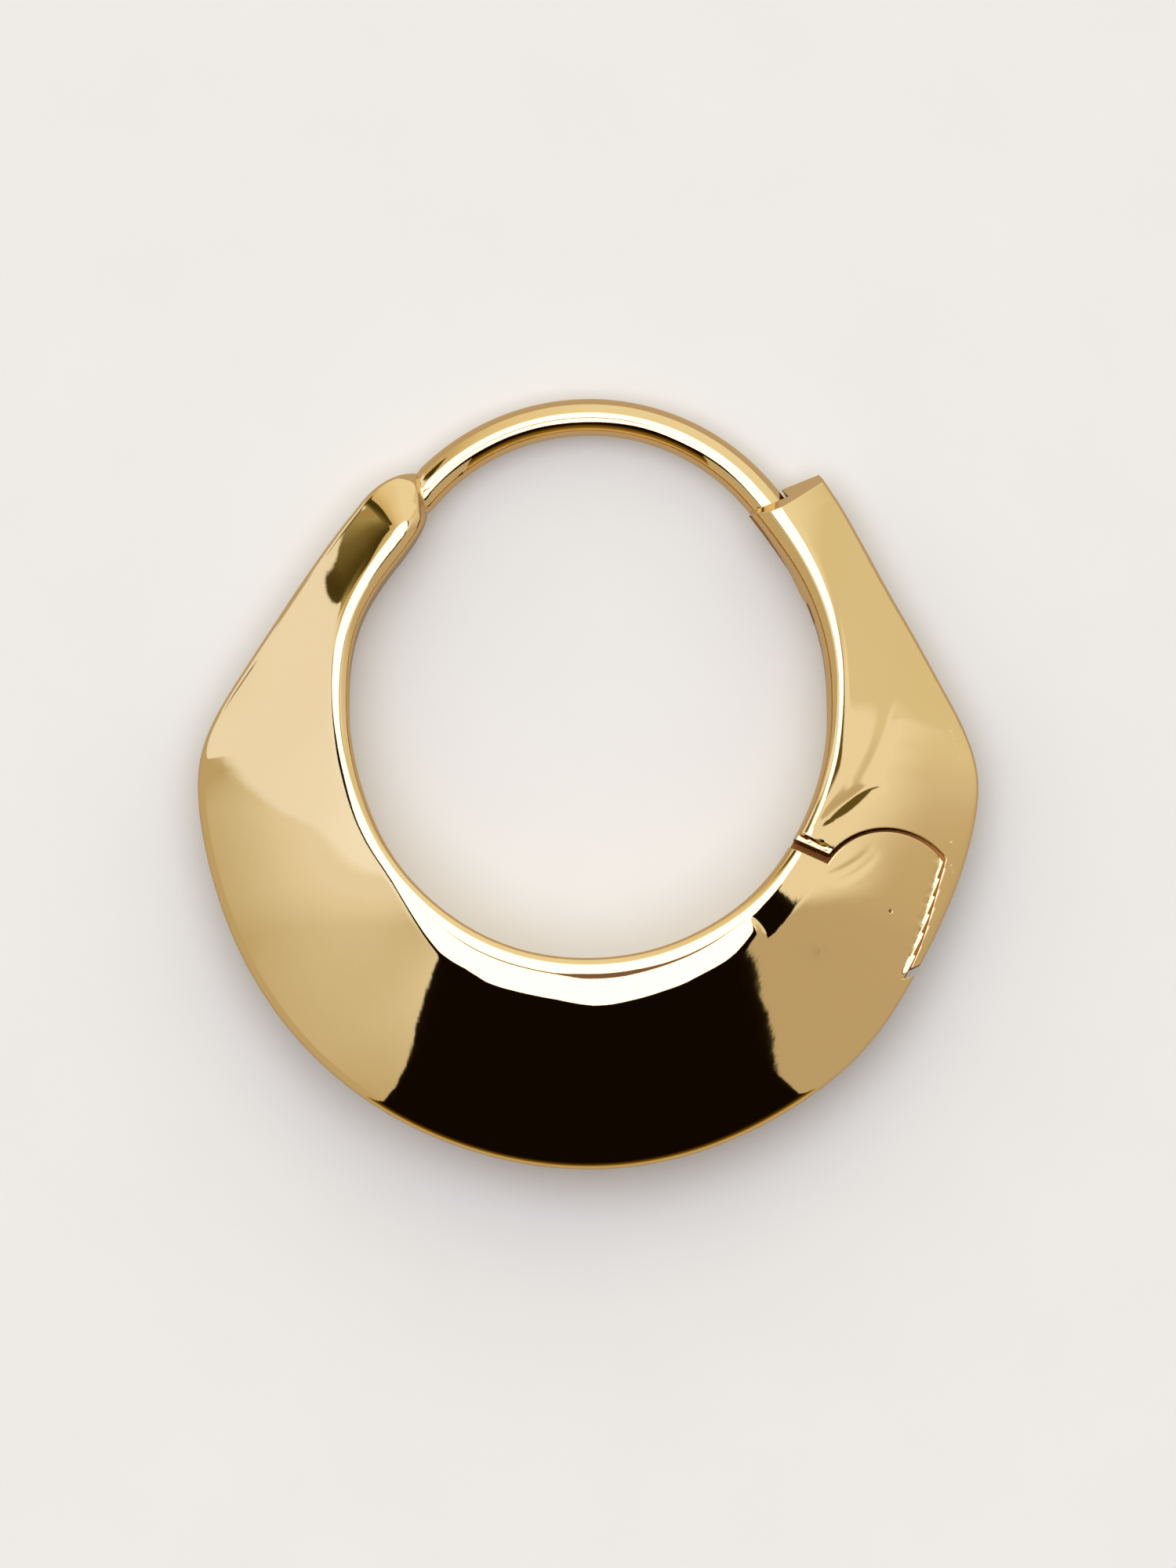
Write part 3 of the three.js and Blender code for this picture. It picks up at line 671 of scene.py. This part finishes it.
class EarringSettings(bpy.types.PropertyGroup):
    """Finish of the metal."""

    gold: FloatVectorProperty(
        name="Gold", description="Colour of the polished metal", subtype="COLOR", size=3,
        default=(0.90, 0.71, 0.42), min=0, max=1,
    )
    pin: FloatVectorProperty(
        name="Pin", description="Colour of the hinge pin", subtype="COLOR", size=3,
        default=(0.72, 0.52, 0.27), min=0, max=1,
    )
    # Painted shade: the cut faces inside the hinge are coloured dark copper for the shade in its gaps.
    cut: FloatVectorProperty(
        name="Cut faces", description="Colour of the unpolished metal inside the hinge", subtype="COLOR", size=3,
        default=(0.27, 0.115, 0.03), min=0, max=1,
    )
    roughness: FloatProperty(
        name="Roughness", description="Blur of the metal's reflections", default=0.02, min=0, max=1,
    )
    wave: FloatProperty(
        name="Polishing waves", description="Depth of the shallow waves left by polishing",
        default=0.0000006, min=0, precision=8, subtype="DISTANCE", unit="LENGTH",
    )
    edge: FloatProperty(
        name="Worn edges", description="Radius over which sharp edges look rounded",
        default=0.00005, min=0, precision=6, subtype="DISTANCE", unit="LENGTH",
    )


class StudioSettings(bpy.types.PropertyGroup):
    """Floor, light and camera."""

    floor: FloatVectorProperty(
        name="Floor", description="Colour of the pale floor", subtype="COLOR", size=3,
        default=(0.82, 0.86, 0.91), min=0, max=1,
    )
    # Painted shade: this tint darkens the floor where the metal mirrors it.
    mirrored_floor_shade: FloatVectorProperty(
        name="Floor in the metal", description="Tint of the floor where the metal mirrors it", subtype="COLOR",
        size=3, default=(0.62, 0.50, 0.36), min=0, max=1,
    )
    brightness: FloatProperty(name="Brightness", description="Strength of the studio light", default=1.0, min=0)
    fill: FloatProperty(
        name="Fill", description="Extra share of light that falls on matt surfaces", default=0.12, min=0,
    )
    lean: FloatProperty(
        name="Lean", description="How much more of that light comes from the side of the ear wire",
        default=0.9, min=0, max=1,
    )
    lens: FloatProperty(
        name="Lens", description="Focal length in millimetres", default=800.0, min=20, unit="CAMERA",
    )
    frame_share: FloatProperty(
        name="Share of the frame", description="Share of the picture's width that the earring fills",
        default=0.664, min=0.1, max=1, subtype="FACTOR",
    )


# ---------------------------------------------------------------- operators


class EARRING_OT_finishes(bpy.types.Operator):
    """Makes the metal finishes"""

    bl_idname = "earring.finishes"
    bl_label = "Finishes"

    def execute(self, context):
        look = context.scene.earring
        gold_material("gold_finish", look.gold, look.roughness, look.wave, look.edge)
        # Rough cut faces; their dark copper colour is painted shade inside the hinge's gaps.
        gold_material("cut_shade_finish", look.cut, 0.42, look.wave * 6, look.edge)
        pin = gold_material("pin_finish", look.pin, 0.3, look.wave, look.edge)
        holder = frame["nodes"]["hinge_pin"]
        for place in holder.material_slots:
            place.material = pin
        return {"FINISHED"}


class EARRING_OT_hoop(bpy.types.Operator):
    """Lofts the crescent with its ear wire and cuts the hinge ears"""

    bl_idname = "earring.hoop"
    bl_label = "Hoop and ear wire"

    def execute(self, context):
        wire = wire_run(10, 150)
        tip = fixed_tip(36)
        rows = np.concatenate([
            np.linspace(0, 15, 180, endpoint=False), np.linspace(15, BODY_LAST_ROW, 120),
        ])
        crescent = crescent_sections(rows)
        inner, outer, upper = (np.concatenate(parts) for parts in zip(wire, tip, crescent))
        points = rings(inner, outer, upper)
        points[..., 2] += folds(points, EAR_FOLDS) * np.clip(points[..., 2] / 0.3, 0, 1)
        points[..., 2] -= beaten_edge(points)
        hoop = closed_skin("polished_hoop", points)
        beyond = beyond_shoulder("beyond", 0, *HINGE_BOX, CUTTER_REACH)
        beyond = combine(beyond, round_plug("ears", EAR_RADIUS, CUTTER_REACH + 1), "DIFFERENCE")
        combine(hoop, beyond, "DIFFERENCE")
        slot = beyond_shoulder("slot", SLOT_SHOULDER, *HINGE_BOX, SLOT_HALF)
        slot = combine(slot, round_plug("slot_round", SLOT_RADIUS, SLOT_HALF), "UNION")
        combine(hoop, slot, "DIFFERENCE")
        combine(hoop, round_plug("bore", *EAR_BORE, 48), "DIFFERENCE")
        combine(hoop, prism("pit", polar(PIT, np.arange(24) * 15, PIT_RADIUS), PIT_FLOOR, CUTTER_REACH), "DIFFERENCE")
        finish_piece(hoop, BODY, "hoop_body")
        return {"FINISHED"}


class EARRING_OT_arm(bpy.types.Operator):
    """Lofts the arm and cuts its hinge tongue and catch"""

    bl_idname = "earring.arm"
    bl_label = "Hinged arm"

    def execute(self, context):
        rows = np.linspace(ARM_FIRST_ROW, LAST_ROW, 260)
        ring = rings(*crescent_sections(rows))
        back = ring[-3] - ring[-1]
        back /= np.linalg.norm(back, axis=1, keepdims=True)
        lean = TIP_LEAN * np.abs(ring[-1][:, 2:]) / RIDGE_TIP[1]
        keep = rows < LAST_ROW - 0.6
        share = np.linspace(0, 1, 14)[1:, None, None]
        start = ring[keep][-1]
        tail = mix(start[None], (ring[-1] + back * lean)[None], share)
        points = np.concatenate([ring[keep], tail])
        points[..., 2] += folds(points, ARM_FOLDS) * np.clip(points[..., 2] / 0.3, 0, 1)
        points[..., 2] -= filed_end(points)
        blank = closed_skin("hinged_arm_shell", points)
        tongue = bpy.data.objects.new("tongue", blank.data.copy())
        context.scene.collection.objects.link(tongue)
        shell_area = beyond_shoulder("shell_area", SHOULDER_GAP, *ARM_BOX, CUTTER_REACH)
        knuckle = round_plug("knuckle", EAR_RADIUS + KNUCKLE_GAP, CUTTER_REACH + 1)
        combine(blank, combine(shell_area, knuckle, "DIFFERENCE"), "INTERSECT")
        area = beyond_shoulder("tongue_area", TONGUE_SHOULDER, *ARM_BOX, TONGUE_HALF)
        area = combine(area, round_plug("tongue_round", TONGUE_RADIUS, TONGUE_HALF), "UNION")
        combine(tongue, area, "INTERSECT")
        combine(blank, tongue, "UNION")
        start_angle = FREE_END_END - math.degrees(CATCH_LENGTH_SPARE / FREE_END_CIRCLE)
        turns = start_angle + np.linspace(0, CATCH_TURN, 60)
        outline = np.concatenate([
            beside_wire(turns, WIRE_RADIUS + CATCH_CLEARANCE),
            beside_wire(turns[::-1], -CATCH_INSIDE),
        ])
        reach = WIRE_RADIUS + CATCH_CLEARANCE
        combine(blank, prism("groove", outline, -reach, reach), "DIFFERENCE")
        combine(blank, round_plug("tongue_bore", TONGUE_BORE, CUTTER_REACH, 48), "DIFFERENCE")
        blank.name = "polished_arm"
        finish_piece(blank, ARM, "hinged_arm")
        return {"FINISHED"}


class EARRING_OT_stage(bpy.types.Operator):
    """Makes the pale floor, the studio light and the camera"""

    bl_idname = "earring.stage"
    bl_label = "Floor, light and camera"

    def execute(self, context):
        studio = context.scene.earring_studio
        low, high = CAD_BOX
        centre = (Vector(low) + Vector(high)) / 2
        make_floor(studio, low.z)
        make_light(context.scene, studio)
        make_camera(context.scene, studio, centre, high.x - low.x)
        return {"FINISHED"}


def make_floor(studio, height):
    """A wide flat floor, faintly mottled as paper is, darker and warmer where the metal mirrors it: painted shade in
    its reflections.
    """
    reach = 2.0
    corners = np.array([(-reach, -reach), (reach, -reach), (reach, reach), (-reach, reach)])
    points = np.column_stack([corners, np.full(4, height - 0.00001)])
    floor = shown_object("floor", mesh_from(points, [[0, 1, 2, 3]], "floor"))
    material = bpy.data.materials.new("pale_paper")
    material.use_nodes = True
    nodes, links = clear_nodes(material.node_tree)
    output = nodes.new("ShaderNodeOutputMaterial")
    shader = nodes.new("ShaderNodeBsdfPrincipled")
    shader.inputs["Roughness"].default_value = 0.9
    shader.inputs["Specular IOR Level"].default_value = 0.1
    place = nodes.new("ShaderNodeTexCoord")
    mottle = nodes.new("ShaderNodeTexNoise")
    mottle.inputs["Scale"].default_value = 300.0
    tint = nodes.new("ShaderNodeValToRGB")
    tint.color_ramp.elements[0].color = (*[c * 0.97 for c in studio.floor], 1)
    tint.color_ramp.elements[1].color = (*studio.floor, 1)
    links.new(place.outputs["Object"], mottle.inputs["Vector"])
    links.new(mottle.outputs["Fac"], tint.inputs["Fac"])
    # Where the metal mirrors the floor, its colour is multiplied by a darker warm tint: painted shade in the floor's
    # reflections.
    seen = nodes.new("ShaderNodeLightPath")
    shade = nodes.new("ShaderNodeMix")
    shade.data_type = "RGBA"
    shade.blend_type = "MULTIPLY"
    shade.inputs[7].default_value = (*studio.mirrored_floor_shade, 1)
    links.new(seen.outputs["Is Glossy Ray"], shade.inputs["Factor"])
    links.new(tint.outputs["Color"], shade.inputs[6])
    links.new(shade.outputs[2], shader.inputs["Base Color"])
    links.new(shader.outputs["BSDF"], output.inputs["Surface"])
    floor.data.materials.append(material)


# The studio round the earring, by azimuth in degrees from the front (-Y) towards +X.
WALL_TOPS = (                    # elevation of the walls' upper edge
    (-180, 60), (-134, 60), (-126, 57.6), (-100, 57.7), (-90, 58.0), (-79, 56.5), (-68, 54.9), (-54, 53.9),
    (-50, 53.4), (-45, 52.6), (-41, 51.6), (-38.8, 50.2), (-38.2, 0), (39.2, 0), (40.4, 50.2),
    (43.8, 51.2), (54, 53), (60.7, 53.4), (67, 53.7), (71.7, 54), (75, 54.6), (77.5, 55.4), (80.5, 55.9),
    (83, 56.4), (85, 56.6), (87, 56.75), (88.5, 58.4), (90, 60), (180, 60),
)
WALL_COLOURS = (
    (-180, (0.93, 0.87, 0.68)),
    (-158, (0.84, 0.72, 0.48)),
    (-147, (0.64, 0.52, 0.28)),
    (-137, (0.61, 0.50, 0.26)),
    (-131, (0.88, 0.84, 0.74)),
    (-122, (0.93, 0.925, 0.92)),
    (-30, (0.54, 0.45, 0.30)),
    (80, (0.555, 0.46, 0.315)),
    (88, (0.61, 0.51, 0.34)),
    (96, (0.70, 0.62, 0.46)),
    (112, (0.79, 0.72, 0.53)),
    (128, (0.76, 0.69, 0.48)),
    (137, (0.93, 0.87, 0.69)),
    (180, (0.93, 0.87, 0.68)),
)
# A brown screen stands behind the fixed tip. Its shade is darkest along a line whose azimuth, turned
# to the positive side, SCREEN_LINE gives by elevation, and brightens away from it.
SCREEN_LINE = ((26, 122), (28.4, 125), (31, 129.5), (35.6, 134), (41.3, 139), (46.6, 142), (52, 143.5))
SCREEN_SHADE = (
    (-2, (0.06, 0.045, 0.01)),
    (0, (0.094, 0.07, 0.018)),
    (4, (0.19, 0.151, 0.053)),
    (7.5, (0.39, 0.325, 0.146)),
    (12, (0.42, 0.30, 0.134)),
)
SCREEN_LEFT = -147
SCREEN_RIGHT = ((24, 123.4), (27, 123.8), (29, 125.4), (31, 126.6), (36, 128), (42, 129), (46, 127), (52, 127))
SCREEN_TOP = (-11.6, 0.45)       # its upper edge: elevation at azimuth 0, and fall by azimuth
SCREEN_BOTTOM = 25.5
# The left wall: a pale upper part over a shaded lower part. LEFT_EDGE is the elevation at which the
# pale part begins; the shade brightens with elevation, and LEFT_SHIFT moves it up by azimuth.
LEFT_EDGE = (
    (-130, 8), (-116, 16), (-113, 28), (-111.4, 38), (-110, 44.6), (-105, 47.2), (-100, 49.4), (-96, 51.8),
    (-93, 54.0), (-90, 55.2), (-86, 56.4), (-79, 57), (-30, 60),
)
LEFT_PALE = (
    (50, (0.93, 0.925, 0.92)),
    (54, (0.95, 0.95, 0.96)),
    (57, (1.00, 1.02, 1.06)),
)
LEFT_SHIFT = (
    (-130, 0), (-96, 0), (-90, 1.1), (-84, 2.1), (-78, 4.0), (-66, 3.4), (-54, 2.5), (-30, 2.5),
)
LEFT_SHADE = (
    (47, (0.56, 0.47, 0.29)),
    (49.5, (0.70, 0.64, 0.49)),
    (51.5, (0.82, 0.77, 0.66)),
    (53, (0.87, 0.84, 0.76)),
)
# The right wall behind the hinge has a pale upper part too.
RIGHT_EDGE = (
    (80, 57), (82.5, 55.4), (84, 54), (86, 52.2), (88, 51), (92, 50.6), (97, 50), (102, 49.2), (106, 47.5),
    (112, 45), (118, 39.5), (124, 38),
)
RIGHT_PALE = (0.923, 0.87, 0.726, 1)
CARD = (0.13, 0.095, 0.02, 1)    # a brown card hangs high on the right wall
# Between and above the walls the room is dark: its colours by elevation.
DARK = (
    (0, (0.69, 0.54, 0.24)),
    (10, (0.59, 0.42, 0.13)),
    (22, (0.31, 0.19, 0.035)),
    (33, (0.14, 0.07, 0.006)),
    (40, (0.09, 0.045, 0.003)),
    (45, (0.02, 0.010, 0.001)),
    (47.5, (0.006, 0.003, 0.0005)),
    (63, (0.006, 0.003, 0.0005)),
)
OVERHEAD_EDGE = (                # elevation at which the broad light above begins, by azimuth
    (-180, 60.3), (-112, 59.6), (-72, 58.6), (-66, 58.4), (-60, 61), (-52, 64.6), (-43, 63.8), (-36, 61),
    (-31, 61.6), (-24, 65), (-17, 66), (-8, 63.5), (0, 61), (9, 61.6), (18, 63.8), (31, 65.2),
    (38, 64.6), (45, 65.4), (51, 64.6), (56, 62.4), (60, 60.3), (66, 59.3), (78, 60.2), (82, 61.6), (88, 61.6),
    (92, 60.3), (180, 60.3),
)
OVERHEAD_EASE = 0.3
# A dark bow crosses it near the zenith: bent towards +Y, and its half width by its x share.
BOW_PLACE = -0.042
BOW_BEND = 1.8
BOW_WIDTH = (
    (-0.34, 0), (-0.22, 0.014), (-0.08, 0.014), (-0.03, 0.045), (0.08, 0.045), (0.14, 0.026), (0.24, 0.018),
    (0.34, 0),
)


class Graph:
    """Short names for the nodes that the studio's light is made of."""

    def __init__(self, tree):
        self.nodes, self.links = clear_nodes(tree)

    def put(self, socket, value):
        if isinstance(value, bpy.types.NodeSocket):
            self.links.new(value, socket)
        else:
            socket.default_value = value

    def math(self, operation, *values):
        node = self.nodes.new("ShaderNodeMath")
        node.operation = operation
        for socket, value in zip(node.inputs, values):
            self.put(socket, value)
        return node.outputs[0]

    def ease(self, value, start, end):
        """0 before start, 1 after end, smooth between."""
        node = self.nodes.new("ShaderNodeMapRange")
        node.interpolation_type = "SMOOTHSTEP"
        self.put(node.inputs["Value"], value)
        node.inputs["From Min"].default_value = start
        node.inputs["From Max"].default_value = end
        return node.outputs["Result"]

    def ramp(self, value, places, colours):
        """Colours read between the stops of a table."""
        node = self.nodes.new("ShaderNodeValToRGB")
        low, high = float(places[0]), float(places[-1])
        self.put(node.inputs["Fac"], self.math("DIVIDE", self.math("SUBTRACT", value, low), high - low))
        elements = node.color_ramp.elements
        elements.remove(elements[1])
        for number, (place, colour) in enumerate(zip(places, colours)):
            share = (place - low) / (high - low)
            element = elements.new(share) if number else elements[0]
            element.position = share
            element.color = (*colour, 1)
        return node.outputs["Color"]

    def table(self, value, stops):
        """Colour at a value, from a table of places and colours."""
        return self.ramp(value, [stop[0] for stop in stops], [stop[1] for stop in stops])

    def number(self, value, stops, most=90):
        """Number at a value, from a table of places and numbers between 0 and the most."""
        grey = self.ramp(value, [stop[0] for stop in stops], [(stop[1] / most,) * 3 for stop in stops])
        return self.math("MULTIPLY", grey, float(most))

    def between(self, value, start, full, fading, end):
        """0 outside start and end, 1 between full and fading, smooth in between."""
        return self.math("MULTIPLY", self.ease(value, start, full), self.ease(value, end, fading))

    def blend(self, share, under, over):
        node = self.nodes.new("ShaderNodeMix")
        node.data_type = "RGBA"
        self.put(node.inputs["Factor"], share)
        self.put(node.inputs[6], under)
        self.put(node.inputs[7], over)
        return node.outputs[2]


def make_light(scene, studio):
    """Studio light as a function of direction: pale walls on both sides, a dark front, a broad soft light above."""
    world = bpy.data.worlds.new("studio")
    scene.world = world
    world.use_nodes = True
    graph = Graph(world.node_tree)
    nodes, links = graph.nodes, graph.links
    way = nodes.new("ShaderNodeTexCoord")
    split = nodes.new("ShaderNodeSeparateXYZ")
    links.new(way.outputs["Generated"], split.inputs[0])
    x, y, z = split.outputs
    azimuth = graph.math("DEGREES", graph.math("ARCTAN2", x, graph.math("MULTIPLY", y, -1.0)))
    elevation = graph.math("DEGREES", graph.math("ARCSINE", z))

    top = graph.number(azimuth, WALL_TOPS)
    walls = graph.table(azimuth, WALL_COLOURS)
    shift = graph.number(azimuth, LEFT_SHIFT)
    shade = graph.table(graph.math("SUBTRACT", elevation, shift), LEFT_SHADE)
    over_edge = graph.math("SUBTRACT", elevation, graph.number(azimuth, LEFT_EDGE))
    left = graph.blend(graph.ease(over_edge, -0.5, 0.7), shade, graph.table(elevation, LEFT_PALE))
    on_left = graph.between(azimuth, -122.4, -121.6, -31.0, -30.0)
    walls = graph.blend(on_left, walls, left)
    over_edge = graph.math("SUBTRACT", elevation, graph.number(azimuth, RIGHT_EDGE))
    on_right = graph.math("MULTIPLY", graph.ease(over_edge, -1.5, 2.5), graph.between(azimuth, 79.0, 82.0, 118.0, 124.0))
    walls = graph.blend(on_right, walls, RIGHT_PALE)
    on_card = graph.math("MULTIPLY", graph.between(azimuth, 103.0, 106.0, 130.0, 136.0), graph.ease(elevation, 55.6, 56.6))
    walls = graph.blend(on_card, walls, CARD)
    beside_line = graph.math("ADD", azimuth, graph.number(elevation, SCREEN_LINE, 180))
    under_top = graph.math("MULTIPLY_ADD", azimuth, SCREEN_TOP[1], elevation)
    on_screen = graph.math(
        "MULTIPLY",
        graph.ease(azimuth, SCREEN_LEFT, SCREEN_LEFT + 1.0),
        graph.ease(under_top, SCREEN_TOP[0] + 0.5, SCREEN_TOP[0] - 0.5),
    )
    on_screen = graph.math("MULTIPLY", on_screen, graph.ease(elevation, SCREEN_BOTTOM - 1.0, SCREEN_BOTTOM))
    past_side = graph.math("ADD", azimuth, graph.number(elevation, SCREEN_RIGHT, 180))
    on_screen = graph.math("MULTIPLY", on_screen, graph.ease(past_side, 0.4, -0.4))
    walls = graph.blend(on_screen, walls, graph.table(beside_line, SCREEN_SHADE))
    dark = graph.table(elevation, DARK)
    above_wall = graph.ease(graph.math("SUBTRACT", elevation, top), -0.12, 0.12)
    sky = graph.blend(above_wall, walls, dark)
    over_edge = graph.math("SUBTRACT", elevation, graph.number(azimuth, OVERHEAD_EDGE))
    overhead = graph.ease(over_edge, -OVERHEAD_EASE, OVERHEAD_EASE)
    sky = graph.blend(overhead, sky, (2.3, 2.2, 2.3, 1))
    bent = graph.math("MULTIPLY", graph.math("MULTIPLY", x, x), -BOW_BEND)
    from_bow = graph.math("ABSOLUTE", graph.math("SUBTRACT", graph.math("ADD", y, bent), BOW_PLACE))
    inside_bow = graph.math("SUBTRACT", graph.number(x, BOW_WIDTH, 1), from_bow)
    on_bow = graph.math("MULTIPLY", graph.ease(inside_bow, -0.006, 0.006), overhead)
    sky = graph.blend(on_bow, sky, (0.22, 0.13, 0.10, 1))

    backdrop = (0.83, 0.80, 0.78, 1)
    seen = nodes.new("ShaderNodeLightPath")
    sky = graph.blend(seen.outputs["Is Camera Ray"], sky, backdrop)
    emit = nodes.new("ShaderNodeBackground")
    links.new(sky, emit.inputs["Color"])
    lean = graph.math("MULTIPLY_ADD", y, studio.lean, graph.math("MULTIPLY_ADD", x, -studio.lean / 2, studio.fill))
    fill = graph.math("MULTIPLY_ADD", seen.outputs["Is Diffuse Ray"], lean, 1.0)
    links.new(graph.math("MULTIPLY", fill, studio.brightness), emit.inputs["Strength"])
    output = nodes.new("ShaderNodeOutputWorld")
    links.new(emit.outputs["Background"], output.inputs["Surface"])


def make_camera(scene, studio, centre, width):
    """Looks straight down with the ear wire at the top of the picture."""
    data = bpy.data.cameras.new("camera")
    data.lens = studio.lens
    data.sensor_width = 36.0
    camera = bpy.data.objects.new("camera", data)
    scene.collection.objects.link(camera)
    short_side = data.sensor_width * 1500 / 2000
    distance = data.lens * (width / studio.frame_share) / (short_side * MM) * MM
    camera.location = centre + Vector((0, 0, distance))
    camera.rotation_euler = (0, 0, 0)
    data.clip_start = distance * 0.01
    data.clip_end = distance * 40
    scene.camera = camera
    scene.view_settings.view_transform = "Standard"


class EARRING_PT_panel(bpy.types.Panel):
    """Lists the settings and the operators"""

    bl_idname = "EARRING_PT_panel"
    bl_label = "Hinged hoop earring"
    bl_space_type = "VIEW_3D"
    bl_region_type = "UI"
    bl_category = "Earring"

    def draw(self, context):
        for group in (context.scene.earring, context.scene.earring_studio):
            for name in group.bl_rna.properties.keys():
                if name not in ("rna_type", "name"):
                    self.layout.prop(group, name)
        for operator in OPERATORS:
            self.layout.operator(operator.bl_idname)


OPERATORS = (EARRING_OT_finishes, EARRING_OT_hoop, EARRING_OT_arm, EARRING_OT_stage)
CLASSES = (EarringSettings, StudioSettings, *OPERATORS, EARRING_PT_panel)


def register():
    for item in CLASSES:
        bpy.utils.register_class(item)
    bpy.types.Scene.earring = PointerProperty(type=EarringSettings)
    bpy.types.Scene.earring_studio = PointerProperty(type=StudioSettings)


def unregister():
    del bpy.types.Scene.earring
    del bpy.types.Scene.earring_studio
    for item in reversed(CLASSES):
        bpy.utils.unregister_class(item)


def main():
    register()
    bpy.ops.earring.finishes()
    bpy.ops.earring.hoop()
    bpy.ops.earring.arm()
    bpy.ops.earring.stage()


if __name__ == "__main__":
    main()
